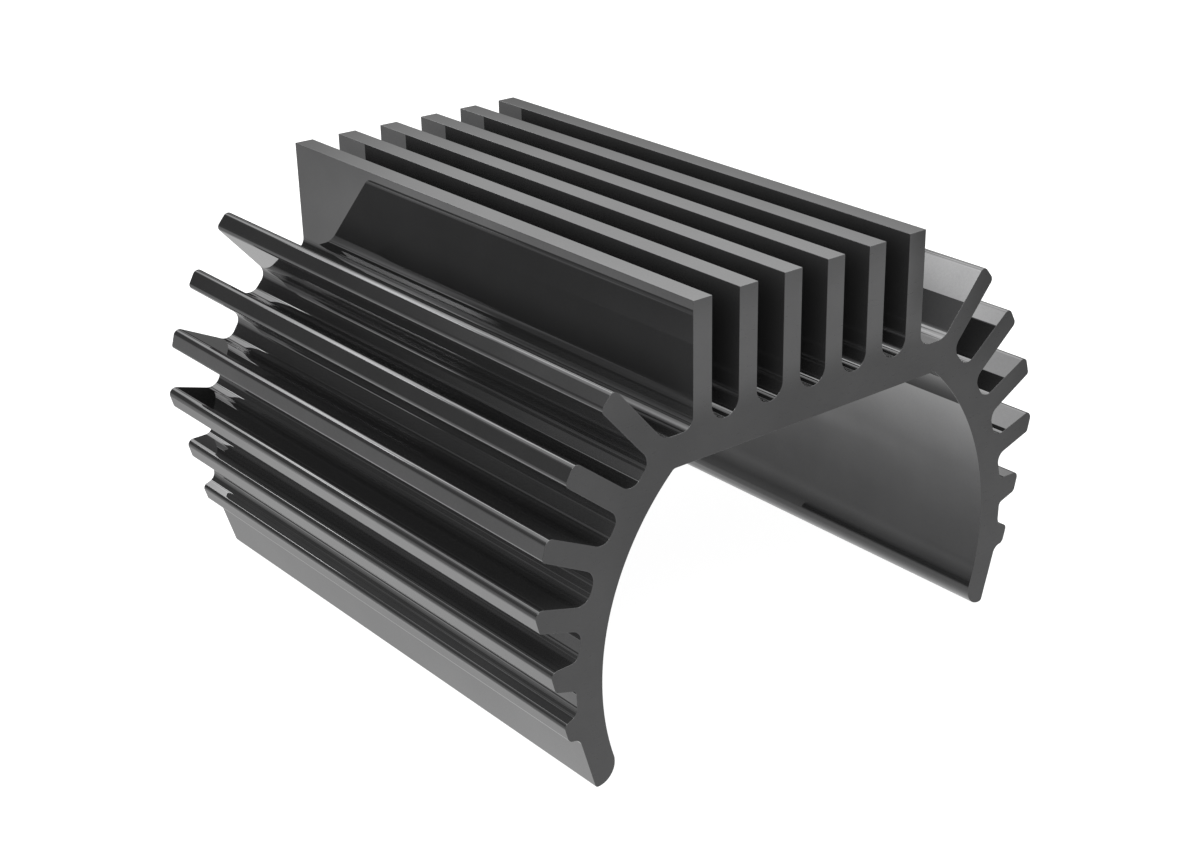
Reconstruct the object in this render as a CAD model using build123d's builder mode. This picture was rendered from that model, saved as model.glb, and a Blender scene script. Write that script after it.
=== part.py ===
from build123d import *
import os

os.makedirs("parts", exist_ok=True)

# Clip-on heat sink for a small motor whose round can has two flats: one aluminium
# extrusion cut to length. Millimetres. +Z is up through the upright fins, +Y runs
# along the extrusion, and the origin is on the motor's axis, halfway along.

# ---------------------------------------------------------------- driving sizes
length = 26.15           # cut length, along Y
bore_r = 10.20           # inside of the two clip legs: a can 20.4 mm across
web_bottom = 7.62        # flat underside of the web: a can 15.2 mm across its flats
web_top = 8.90           # bottom of the gaps between the upright fins
bore_corner_r = 0.25     # round where the flat of the web meets the bore

fin_count = 6            # upright fins on top
fin_pitch = 2.175
fin_thick = 0.88
fin_tip_z = 13.70        # flat tops of the upright fins

gap_width = fin_pitch - fin_thick
gap_r = gap_width / 2                                     # full round gap bottoms
stack_half = (fin_count - 1) * fin_pitch / 2 + fin_thick / 2

# One side of the section, from the root of the outermost upright fin down to the
# foot. Each row is the corner between two straight runs (x, z) and the radius of
# the round in it: a root round is about 0.5 mm, a tip round about 0.25 mm.
side_corners = [
    (stack_half, web_top, 0.51),    # root of the outermost upright fin
    (7.26, web_top, 0.79),          # root of side fin 1, upper face
    (9.43, 11.44, 0.26),            # tip of side fin 1
    (10.02, 10.74, 0.23),
    (7.86, 8.26, 0.52),             # gap between side fins 1 and 2
    (8.69, 7.29, 0.56),
    (11.18, 9.24, 0.26),            # tip of side fin 2
    (11.62, 8.45, 0.21),
    (9.29, 6.56, 0.48),             # gap between side fins 2 and 3
    (9.93, 5.56, 0.51),
    (12.45, 6.80, 0.27),            # tip of side fin 3
    (12.69, 5.94, 0.14),
    (10.39, 4.72, 0.52),            # gap between side fins 3 and 4
    (10.79, 3.55, 0.54),
    (13.15, 4.24, 0.28),            # tip of side fin 4
    (12.89, 3.23, 0.14),
    (11.05, 2.65, 0.44),            # gap between side fins 4 and 5
    (11.30, 1.53, 0.35),
    (12.51, 1.50, 0.25),            # tip of the short side fin 5
    (12.29, 0.63, 0.22),
    (11.38, 0.35, 0.22),            # gap between side fins 5 and 6
    (11.36, -0.65, 0.41),
    (11.97, -0.88, 0.21),           # tip of side fin 6, a small rib
    (11.76, -1.65, 0.27),
    (11.29, -1.69, 0.40),           # start of the plain tapering leg
    (10.60, -4.08, 0.17),           # foot, outer round
    (9.67, -4.08, 0.77),            # foot, inner round
]
foot_top_z = -3.14                  # height at which the foot meets the bore
foot_lip_r = 0.40                   # round over that lip

# ---------------------------------------------------------------- the extrusion
with BuildPart() as heat_sink:
    with BuildSketch(Plane.XZ) as section:
        # half of the web and one leg with its six side fins
        with BuildLine() as side:
            foot_top_x = (bore_r**2 - foot_top_z**2) ** 0.5
            web_edge_x = (bore_r**2 - web_bottom**2) ** 0.5
            points = [(stack_half, fin_tip_z)]
            points += [(x, z) for x, z, _ in side_corners]
            points += [(foot_top_x, foot_top_z)]
            outer = FilletPolyline(*points, radius=[r for _, _, r in side_corners])
            bore = RadiusArc(outer @ 1, (web_edge_x, web_bottom), -bore_r)
            flat = Line(bore @ 1, (0, web_bottom))
            middle = Line(flat @ 1, (0, fin_tip_z))
            top = Line(middle @ 1, outer @ 0)
        make_face()
        mirror(about=Plane.YZ)

        # five gaps with round bottoms leave the six upright fins
        with GridLocations(fin_pitch, 0, fin_count - 1, 1):
            with Locations((0, web_top + gap_r)):
                Circle(gap_r, mode=Mode.SUBTRACT)
                Rectangle(
                    gap_width,
                    fin_tip_z - web_top,
                    align=(Align.CENTER, Align.MIN),
                    mode=Mode.SUBTRACT,
                )

        # small round where the flat underside of the web runs into the bore, and
        # over the lip where the bore runs out onto the foot
        web_ends = section.vertices().filter_by(
            lambda v: abs(v.Y - web_bottom) < 0.01 and abs(abs(v.X) - web_edge_x) < 0.01
        )
        fillet(web_ends, radius=bore_corner_r)
        lips = section.vertices().filter_by(
            lambda v: abs(v.Y - foot_top_z) < 0.01 and abs(abs(v.X) - foot_top_x) < 0.01
        )
        fillet(lips, radius=foot_lip_r)
    extrude(amount=length / 2, both=True)

heat_sink.part.label = "heat_sink"
export_step(heat_sink.part, "parts/heat_sink.step")

box = heat_sink.part.bounding_box()
print("size", box.size, "volume mm3", round(heat_sink.part.volume, 1))
print("solids", len(heat_sink.part.solids()), "faces", len(heat_sink.part.faces()))
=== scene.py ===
import math

import bmesh
import bpy
from mathutils import Matrix, Vector
from mathutils.geometry import delaunay_2d_cdt


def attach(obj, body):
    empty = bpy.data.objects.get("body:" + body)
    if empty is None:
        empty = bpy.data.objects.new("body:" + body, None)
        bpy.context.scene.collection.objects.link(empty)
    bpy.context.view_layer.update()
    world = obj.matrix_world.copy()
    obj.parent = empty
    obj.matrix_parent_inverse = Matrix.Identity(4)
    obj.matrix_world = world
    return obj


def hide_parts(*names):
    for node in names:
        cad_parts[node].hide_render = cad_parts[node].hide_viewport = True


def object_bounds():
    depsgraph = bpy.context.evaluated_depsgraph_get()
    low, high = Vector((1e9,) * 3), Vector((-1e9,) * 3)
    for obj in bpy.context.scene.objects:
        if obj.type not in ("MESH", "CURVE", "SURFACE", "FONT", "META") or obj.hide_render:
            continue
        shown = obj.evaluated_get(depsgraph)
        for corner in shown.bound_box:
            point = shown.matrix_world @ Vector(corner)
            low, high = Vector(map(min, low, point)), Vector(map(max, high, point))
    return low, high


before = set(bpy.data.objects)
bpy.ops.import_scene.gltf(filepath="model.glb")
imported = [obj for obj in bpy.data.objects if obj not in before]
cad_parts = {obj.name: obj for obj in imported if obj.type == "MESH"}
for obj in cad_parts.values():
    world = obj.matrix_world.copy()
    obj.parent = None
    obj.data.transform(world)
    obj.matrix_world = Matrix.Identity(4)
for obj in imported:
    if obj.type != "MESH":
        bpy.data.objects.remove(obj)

cad_box = [list(c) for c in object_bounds()]
MM = 0.001

# ------------------------------------------------------------------ the section
# The outline of the extrusion in the XZ plane, in millimetres, as in the CAD.
HALF = 13.075                  # half of the cut length
BORE_R = 10.20
WEB_BOTTOM, WEB_TOP, TIP_Z = 7.62, 8.90, 13.70
PITCH, THICK, FINS = 2.175, 0.88, 6
GAP = PITCH - THICK
STACK = (FINS - 1) * PITCH / 2 + THICK / 2
ARRIS = 0.020                  # worn arris on the fins' top corners
SIDE = [
    (STACK, WEB_TOP, 0.51), (7.26, WEB_TOP, 0.79), (9.43, 11.44, 0.26), (10.02, 10.74, 0.23),
    (7.86, 8.26, 0.52), (8.69, 7.29, 0.56), (11.18, 9.24, 0.26), (11.62, 8.45, 0.21),
    (9.29, 6.56, 0.48), (9.93, 5.56, 0.51), (12.45, 6.80, 0.27), (12.69, 5.94, 0.14),
    (10.39, 4.72, 0.52), (10.79, 3.55, 0.54), (13.15, 4.24, 0.28), (12.89, 3.23, 0.14),
    (11.05, 2.65, 0.44), (11.30, 1.53, 0.35), (12.51, 1.50, 0.25), (12.29, 0.63, 0.22),
    (11.38, 0.35, 0.22), (11.36, -0.65, 0.41), (11.97, -0.88, 0.21), (11.76, -1.65, 0.27),
    (11.29, -1.69, 0.40), (10.60, -4.08, 0.17), (9.67, -4.08, 0.77),
]
FOOT_TOP_Z, LIP_R, BORE_CORNER_R = -3.14, 0.40, 0.25


def arc(centre, radius, a0, a1, out):
    """Points of an arc with their outward normals. out is +1 where the solid is inside the arc, -1 where it is outside."""
    step = math.radians(1.6 if radius > 5 else 7 if radius > 0.1 else 15)
    n = max(3, math.ceil(abs(a1 - a0) / step))
    pts = []
    for i in range(n + 1):
        a = a0 + (a1 - a0) * i / n
        c, s = math.cos(a), math.sin(a)
        pts.append((centre[0] + radius * c, centre[1] + radius * s, out * c, out * s))
    return pts


def near(a, b):
    """b, turned by whole turns to lie within half a turn of a."""
    while b - a > math.pi:
        b -= 2 * math.pi
    while b - a < -math.pi:
        b += 2 * math.pi
    return b


def fillet(p0, p, p1, r):
    """The round of radius r in the corner p between the runs to p0 and p1, going clockwise round the solid."""
    a, b = Vector(p0) - Vector(p), Vector(p1) - Vector(p)
    a.normalize(); b.normalize()
    half = a.angle(b) / 2
    centre = Vector(p) + (a + b).normalized() * (r / math.sin(half))
    t0, t1 = Vector(p) + a * (r / math.tan(half)), Vector(p) + b * (r / math.tan(half))
    a0 = math.atan2(*(t0 - centre).yx)
    a1 = near(a0, math.atan2(*(t1 - centre).yx))
    turns_right = -a.x * b.y + a.y * b.x < 0
    return arc(centre, r, a0, a1, 1 if turns_right else -1)


def right_half():
    """The right half of the outline, clockwise from the middle of the middle gap to the middle of the web."""
    row = [(0.0, WEB_TOP, 0)]
    for k in range(FINS // 2):
        x0 = k * PITCH + GAP / 2
        row.append((x0, WEB_TOP, GAP / 2))
        row.append((x0, TIP_Z, ARRIS))
        row.append((x0 + THICK, TIP_Z, ARRIS))
        if k < FINS // 2 - 1:
            row.append((x0 + THICK, WEB_TOP, GAP / 2))
    row += SIDE
    foot = Vector((math.sqrt(BORE_R**2 - FOOT_TOP_Z**2), FOOT_TOP_Z))
    row.append((foot.x, foot.y, 0))
    pts = [(0.0, WEB_TOP, 0.0, 1.0)]
    for i in range(1, len(row) - 1):
        pts += fillet(row[i - 1][:2], row[i][:2], row[i + 1][:2], row[i][2])
    # over the lip, from the foot's straight run onto the bore
    last = Vector(row[-2][:2])
    run = (foot - last).normalized()
    side = Vector((-run.y, run.x))
    if (foot + side).length < foot.length:
        side = -side
    base = last + side * LIP_R
    b, c = base.dot(run), base.length_squared - (BORE_R + LIP_R) ** 2
    spots = [-b + s * math.sqrt(b * b - c) for s in (1, -1)]
    reach = (foot - last).length
    t = min(spots, key=lambda s: abs(s - reach))
    lip = base + run * t
    a0 = math.atan2(*(-side).yx)
    a1 = near(a0, math.atan2(*(-lip).yx))
    pts += arc(lip, LIP_R, a0, a1, 1)
    # the bore, up to the round under the web
    r = BORE_CORNER_R
    cz = WEB_BOTTOM - r
    corner = Vector((math.sqrt((BORE_R - r) ** 2 - cz**2), cz))
    b0, b1 = math.atan2(lip.y, lip.x), math.atan2(corner.y, corner.x)
    pts += arc((0, 0), BORE_R, b0, b1, -1)[1:]
    pts += arc(corner, r, b1, math.pi / 2, -1)[1:]
    pts.append((0.0, WEB_BOTTOM, 0.0, -1.0))
    # where two arcs meet, one point is enough
    kept = [pts[0]]
    for p in pts[1:]:
        if math.hypot(p[0] - kept[-1][0], p[1] - kept[-1][1]) > 1e-4:
            kept.append(p)
    return kept


half = right_half()
outline = half + [(-x, z, -nx, nz) for x, z, nx, nz in reversed(half[1:-1])]

# ---------------------------------------------------------------- the extrusion
# Rings of the outline along Y. The last few at each end go round the fine arris
# that the saw cut and the tumbling leave.
EDGE = 0.012
ring_plan = []
for end in (-1, 1):
    rings = []
    for k in range(5):
        a = math.radians(90 - 22.5 * k)              # from the cut face to the side
        rings.append((end * (HALF - EDGE * (1 - math.sin(a))), EDGE * (1 - math.cos(a)), end * math.sin(a), math.cos(a)))
    ring_plan += rings if end < 0 else rings[::-1]

mesh = bpy.data.meshes.new("extruded_heat_sink")
bm = bmesh.new()
rings, normals = [], []
for y, inset, ny, n2 in ring_plan:
    ring = []
    for x, z, nx, nz in outline:
        ring.append(bm.verts.new(((x - nx * inset) * MM, y * MM, (z - nz * inset) * MM)))
        normals.append((nx * n2, ny, nz * n2))
    rings.append(ring)
bm.verts.ensure_lookup_table()
n = len(outline)
for a, b in zip(rings, rings[1:]):
    for i in range(n):
        j = (i + 1) % n
        f = bm.faces.new((a[i], b[i], b[j], a[j]))
        f.smooth = True
flat = [Vector((x - nx * EDGE, z - nz * EDGE)) for x, z, nx, nz in outline]
_, _, cap, origin, _, _ = delaunay_2d_cdt(flat, [(i, (i + 1) % n) for i in range(n)], [list(range(n))], 1, 1e-6)
for ring in (rings[0], rings[-1]):
    for tri in cap:
        f = bm.faces.new([ring[origin[i][0]] for i in tri])
        f.smooth = True
        f.material_index = 1
bmesh.ops.recalc_face_normals(bm, faces=bm.faces[:])
bm.to_mesh(mesh)
bm.free()
mesh.normals_split_custom_set_from_vertices(normals)

sink = bpy.data.objects.new("extruded_heat_sink", mesh)
bpy.context.scene.collection.objects.link(sink)


# -------------------------------------------------------------------- materials
class Tree:
    """A short way to write a node tree."""

    def __init__(self, owner):
        owner.use_nodes = True
        self.t = owner.node_tree
        self.t.nodes.clear()

    def add(self, kind, props=None, **inputs):
        node = self.t.nodes.new(kind)
        for k, v in (props or {}).items():
            setattr(node, k, v)
        for k, v in inputs.items():
            self.put(node, int(k[1:]) if k[0] == "i" and k[1:].isdigit() else k.replace("_", " "), v)
        return node

    def put(self, node, key, v):
        socket = node.inputs[key]
        if isinstance(v, bpy.types.NodeSocket):
            self.t.links.new(v, socket)
        else:
            socket.default_value = v

    def math(self, op, a, b=0.0, c=0.0, clamp=False):
        return self.add("ShaderNodeMath", {"operation": op, "use_clamp": clamp}, i0=a, i1=b, i2=c).outputs[0]

    def vec(self, op, a, b=(0, 0, 0)):
        node = self.add("ShaderNodeVectorMath", {"operation": op}, i0=a, i1=b)
        return node.outputs["Value"] if op in ("DOT_PRODUCT", "LENGTH") else node.outputs[0]

    def noise(self, vector, scale, detail=3.0, rough=0.5, distortion=0.0):
        return self.add("ShaderNodeTexNoise", None, Vector=vector, Scale=scale, Detail=detail, Roughness=rough, Distortion=distortion).outputs[0]

    def ramp(self, fac, stops, mode="LINEAR"):
        node = self.add("ShaderNodeValToRGB", None, Fac=fac)
        cr = node.color_ramp
        cr.interpolation = mode
        while len(cr.elements) > 1:
            cr.elements.remove(cr.elements[-1])
        cr.elements[0].position = stops[0][0]
        for pos, _ in stops[1:]:
            cr.elements.new(pos)
        for e, (_, col) in zip(cr.elements, stops):
            e.color = (*col, 1) if hasattr(col, "__len__") else (col, col, col, 1)
        return node.outputs[0]

    def spread(self, v, lo, hi, to_lo, to_hi, kind="LINEAR"):
        return self.add("ShaderNodeMapRange", {"interpolation_type": kind}, i0=v, i1=lo, i2=hi, i3=to_lo, i4=to_hi).outputs[0]

    def ease(self, v, lo, hi, to=1.0):
        """From 0 at lo to a smooth stop at hi."""
        return self.spread(v, lo, hi, 0.0, to, "SMOOTHSTEP")


def anodised(name, cut):
    mat = bpy.data.materials.new(name)
    t = Tree(mat)
    where = t.add("ShaderNodeTexCoord").outputs["Object"]
    mm = t.vec("SCALE", where)
    mm.node.inputs["Scale"].default_value = 1000.0
    # slow variation of the dye
    cloud = t.noise(mm, 0.35, 4.0, 0.55)
    grain = t.noise(mm, 9.0, 3.0, 0.6)
    grit = 0.0015 if cut else 0.004
    tone = t.math("ADD", t.spread(cloud, 0.3, 0.7, -0.006, 0.006), t.spread(grain, 0.3, 0.7, -grit, grit))
    value = t.math("ADD", tone, 0.100)
    if cut:
        # painted light and shade on the cut face: the web is darker than the upright fins and the legs, and the tips
        # on the right are darker again
        x, _, z = t.add("ShaderNodeSeparateXYZ", None, Vector=mm).outputs
        # painted light: the upright fins' cut faces are lighter than the web, less so toward their tops
        upright = t.math("MULTIPLY", t.ease(z, 8.9, 10.4), t.math("SUBTRACT", 1.0, t.ease(t.math("ABSOLUTE", x), 6.1, 6.9)))
        level = t.math("MULTIPLY_ADD", upright, t.math("SUBTRACT", 0.31, t.ease(z, 12.2, 14.0, 0.21)), 0.80)
        # painted shade: the upright fins on the right are darker
        painted_shade_right_fins = t.math("MULTIPLY", upright, t.math("MULTIPLY", t.ease(x, 4.4, 5.8, 0.38), t.ease(z, 9.0, 11.5)))
        # painted shade: the tips on the right are darker
        painted_shade_right_tips = t.math("MULTIPLY", t.ease(x, 7.2, 10.2, 0.33), t.ease(z, 6.4, 10.4))
        painted_shade_right_tips = t.math("MAXIMUM", painted_shade_right_tips, t.math("MULTIPLY", t.ease(x, 10.6, 12.6, 0.15), t.ease(z, 0.5, 3.5)))
        # painted light: the legs are lighter toward the bottom, a little more so on the right, and the tips on the
        # left are lighter
        painted_light_legs_and_left_tips = t.math("MULTIPLY", t.spread(z, 7.5, -1.0, 0.0, 1.0, "SMOOTHSTEP"), t.math("MULTIPLY_ADD", x, 0.0035, 0.215))
        painted_light_legs_and_left_tips = t.math("ADD", painted_light_legs_and_left_tips, t.math("MULTIPLY", t.ease(x, -8.0, -10.5, 0.08), t.ease(z, 0.5, 4.5)))
        level = t.math("ADD", t.math("SUBTRACT", t.math("SUBTRACT", level, painted_shade_right_fins), painted_shade_right_tips), painted_light_legs_and_left_tips)
        # the cut face's colour carries this painted light and shade
        value = t.math("MULTIPLY", value, level)
    colour = t.add("ShaderNodeCombineColor", None, Red=value, Green=value, Blue=t.math("MULTIPLY", value, 1.01)).outputs[0]
    if cut:
        stretch = t.vec("MULTIPLY", mm, (1.0, 1.0, 6.0))
        lines = t.noise(stretch, 2.2, 5.0, 0.7, 0.3)
        rough = t.spread(lines, 0.25, 0.75, 0.26, 0.34)
        height = t.math("ADD", t.math("MULTIPLY", lines, 0.7), t.math("MULTIPLY", grain, 0.3))
        strength, distance = 0.012, 0.00002
    else:
        stretch = t.vec("MULTIPLY", mm, (1.0, 0.002, 1.0))
        lines = t.noise(stretch, 5.0, 1.5, 0.5)
        rough = t.spread(lines, 0.25, 0.75, 0.006, 0.016)
        height = lines
        strength, distance = 0.0015, 0.00001
    bump = t.add("ShaderNodeBump", None, Strength=strength, Distance=distance, Height=height).outputs[0]
    shader = t.add("ShaderNodeBsdfPrincipled", None, Base_Color=colour, Metallic=0.89, Roughness=rough, Normal=bump)
    t.add("ShaderNodeOutputMaterial", None, Surface=shader.outputs[0])
    return mat


mesh.materials.append(anodised("anodised_drawn", False))
mesh.materials.append(anodised("anodised_cut", True))
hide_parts("heat_sink")
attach(sink, "root")

# ----------------------------------------------------------------------- studio
floor_mesh = bpy.data.meshes.new("floor")
lo, hi = cad_box
bm = bmesh.new()
bmesh.ops.create_circle(bm, cap_ends=True, radius=3.0, segments=96, matrix=Matrix.Translation((0, 0, lo[2])))
bm.to_mesh(floor_mesh)
bm.free()
floor = bpy.data.objects.new("floor", floor_mesh)
bpy.context.scene.collection.objects.link(floor)
pale = bpy.data.materials.new("floor")
t = Tree(pale)
soft = t.add("ShaderNodeBsdfDiffuse", None, Color=(0.25, 0.25, 0.25, 1)).outputs[0]
glow = t.add("ShaderNodeEmission", None, Color=(1, 1, 1, 1), Strength=0.93).outputs[0]
table = t.add("ShaderNodeAddShader", None, i0=soft, i1=glow).outputs[0]
clear = t.add("ShaderNodeBsdfTransparent").outputs[0]
under = t.add("ShaderNodeNewGeometry").outputs["Backfacing"]
t.add("ShaderNodeOutputMaterial", None, Surface=t.add("ShaderNodeMixShader", None, i0=under, i1=table, i2=clear).outputs[0])
floor_mesh.materials.append(pale)
floor.visible_glossy = floor.visible_diffuse = floor.visible_shadow = False
pale.cycles.emission_sampling = "NONE"

world = bpy.data.worlds.new("studio")
bpy.context.scene.world = world
t = Tree(world)
full = t.add("ShaderNodeTexCoord").outputs["Generated"]
axis = t.add("ShaderNodeSeparateXYZ", None, Vector=full).outputs
# the studio is the same behind the camera as beyond the object
folded = t.add("ShaderNodeCombineXYZ", None, X=axis["X"], Y=t.math("ABSOLUTE", axis["Y"]), Z=axis["Z"]).outputs[0]


def by_height(stops, low, high):
    """A value that goes by the height above the horizon, in degrees."""
    level = t.ramp(t.math("MULTIPLY_ADD", axis["Z"], 0.5, 0.5), [((math.sin(math.radians(a)) + 1) / 2, (v - low) / (high - low)) for a, v in stops])
    return t.math("MULTIPLY_ADD", level, high - low, low)


def panel(way, lon, lat, roll, wide, high, soft, power):
    """A soft-edged rectangle, wide and high from its middle as tangents. lon 0 is +Y and grows toward -X."""
    lo_, la_, ro = math.radians(lon), math.radians(lat), math.radians(roll)
    mid = Vector((-math.sin(lo_) * math.cos(la_), math.cos(lo_) * math.cos(la_), math.sin(la_)))
    side = Vector((math.cos(lo_), math.sin(lo_), 0.0))
    rise = side.cross(mid)
    side, rise = side * math.cos(ro) + rise * math.sin(ro), rise * math.cos(ro) - side * math.sin(ro)
    depth = t.math("MAXIMUM", t.vec("DOT_PRODUCT", way, tuple(mid)), 0.001)
    edges = []
    for v, reach in ((side, wide), (rise, high)):
        off = t.math("DIVIDE", t.math("ABSOLUTE", t.vec("DOT_PRODUCT", way, tuple(v))), depth)
        node = t.add("ShaderNodeMapRange", {"interpolation_type": "SMOOTHSTEP"}, i0=off, i1=reach - soft / 2, i2=reach + soft / 2, i3=power, i4=0.0)
        edges.append(node.outputs[0])
        power = 1.0
    return t.math("MULTIPLY", edges[0], edges[1])


# pale below, dark round the horizon and light above
room = by_height([(-90, 2.0), (-70, 1.7), (-55, 1.39), (-42, 0.87), (-30, 0.72), (-20, 0.67), (-10, 0.76), (-3, 0.6),
                  (4, 0.05), (15, 0.2), (30, 0.01), (42, 0.09), (50, 1.67), (60, 0.7), (90, 1.5)], 0.0, 4.0)
lean = by_height([(-90, 0.1), (-55, -0.4), (-30, -0.05), (-10, 0.3), (-3, 0.8), (4, -0.29), (20, -1.16), (42, -0.2), (90, 0.0)], -2.0, 2.0)
light = t.math("MULTIPLY_ADD", lean, axis["X"], room)
for box in [
    (1.8, 88.5, -1.6, 1.525, 0.803, 0.105, 1.115),
    (-4.8, 38.7, 11.3, 0.224, 0.024, 0.089, 3.189),
    (-23.3, 19.0, 17.0, 0.522, 0.137, 0.111, 1.488),
    (-4.4, 34.1, -8.3, 0.281, 0.056, 0.058, 2.127),
    (46.4, 48.5, -14.8, 0.230, 0.106, 0.064, 4.147),
    (-48.9, 41.4, -50.5, 0.157, 0.187, 0.087, 2.306),
    (23.8, -35.9, -25.4, 0.167, 0.110, 0.130, 0.490),
    (-69.4, 34.6, -28.0, 0.290, 0.161, 0.078, 1.266),
    (30.9, -27.5, 36.3, 0.102, 0.175, 0.087, 0.520),
    (-1.5, 44.4, -9.6, 0.424, 0.143, 0.101, 1.228),
    (-31.6, 35.6, -54.9, 0.274, 0.116, 0.125, 1.200),
    (-56.4, 24.5, 10.6, 0.276, 0.015, 0.211, 1.847),
    (16.9, 33.4, 30.0, 0.028, 0.050, 0.024, 11.0),
    (46.0, -2.7, -7.0, 0.310, 0.115, 0.060, 0.270),
]:
    light = t.math("ADD", light, panel(folded, *box))
light = t.math("MAXIMUM", light, 0.0)
# dark cards between the lights
for card in [
    (-22.2, 43.8, -29.3, 0.350, 0.040, 0.048, 1.0),
    (-19.8, 23.5, -44.2, 0.020, 0.104, 0.063, 0.794),
    (-35.5, -9.0, 56.5, 0.347, 0.662, 0.148, 0.834),
    (32.4, 16.3, -3.2, 0.327, 0.199, 0.110, 0.890),
    (24.0, -27.1, -37.3, 0.023, 0.152, 0.051, 0.671),
    (16.9, 25.7, 14.1, 0.124, 0.140, 0.067, 0.472),
    (-27.0, 28.5, -34.0, 0.025, 0.130, 0.040, 0.85),
]:
    light = t.math("MULTIPLY", light, t.math("SUBTRACT", 1.0, panel(full, *card)))
# the light behind the camera, which the cut face shows, falls off toward the right and downward
light = t.math("ADD", light, panel(full, -142.0, -5.0, 0.0, 0.12, 0.22, 0.30, 1.1))
light = t.math("MAXIMUM", t.math("SUBTRACT", light, panel(full, -122.0, -26.0, 0.0, 0.22, 0.40, 0.4, 0.3)), 0.0)
studio = t.add("ShaderNodeBackground", None, Color=(1, 1, 1, 1), Strength=light).outputs[0]
# what lights the matt part of things, and the white that the camera sees beyond the floor
level = t.math("MULTIPLY_ADD", axis["Z"], 0.5, 0.5)
plain = t.ramp(level, [(0.0, 0.27), (0.40, 0.24), (0.52, 0.28), (0.75, 0.22), (0.88, 0.26), (1.0, 0.26)])
wing = t.math("MULTIPLY", t.math("MULTIPLY", axis["X"], axis["X"]), t.ramp(level, [(0.45, 0.0), (0.54, 1.0), (0.66, 0.8), (0.80, 0.5), (0.88, 0.0)]))
wing = t.math("MULTIPLY", wing, 9.0)
ends = t.math("MULTIPLY_ADD", t.math("MULTIPLY", axis["Y"], axis["Y"]), -2.2, 4.0)
ambient = t.add("ShaderNodeBackground", None, Color=(1, 1, 1, 1), Strength=t.math("MULTIPLY_ADD", plain, ends, wing)).outputs[0]
white = t.add("ShaderNodeBackground", None, Color=(1, 1, 1, 1), Strength=1.0).outputs[0]
ray = t.add("ShaderNodeLightPath").outputs
lit = t.add("ShaderNodeMixShader", None, i0=ray["Is Glossy Ray"], i1=ambient, i2=studio).outputs[0]
t.add("ShaderNodeOutputWorld", None, Surface=t.add("ShaderNodeMixShader", None, i0=ray["Is Camera Ray"], i1=lit, i2=white).outputs[0])

# ----------------------------------------------------------------------- camera
cam = bpy.data.objects.new("camera", bpy.data.cameras.new("camera"))
bpy.context.scene.collection.objects.link(cam)
az, el = math.radians(-41.3423), math.radians(24.1749)
back = Vector((math.sin(az) * math.cos(el), -math.cos(az) * math.cos(el), math.sin(el)))
right = (-back).cross(Vector((0, 0, 1))).normalized()
up = back.cross(right)
cam.matrix_world = Matrix.Translation((-0.0476079, -0.0605053, 0.0372096)) @ Matrix((right, up, back)).transposed().to_4x4()
cam.data.sensor_width = 36
cam.data.lens = 58.8885
cam.data.shift_x = -0.077725
cam.data.clip_start, cam.data.clip_end = 0.001, 10
bpy.context.scene.camera = cam
bpy.context.scene.view_settings.view_transform = "Standard"
bpy.context.scene.view_settings.look = "None"
# the veil that a bright set lays over the darkest tones
bpy.context.scene.view_settings.use_curve_mapping = True
bpy.context.scene.view_settings.curve_mapping.black_level = (-0.0015, -0.0015, -0.0015)
bpy.context.scene.view_settings.curve_mapping.update()
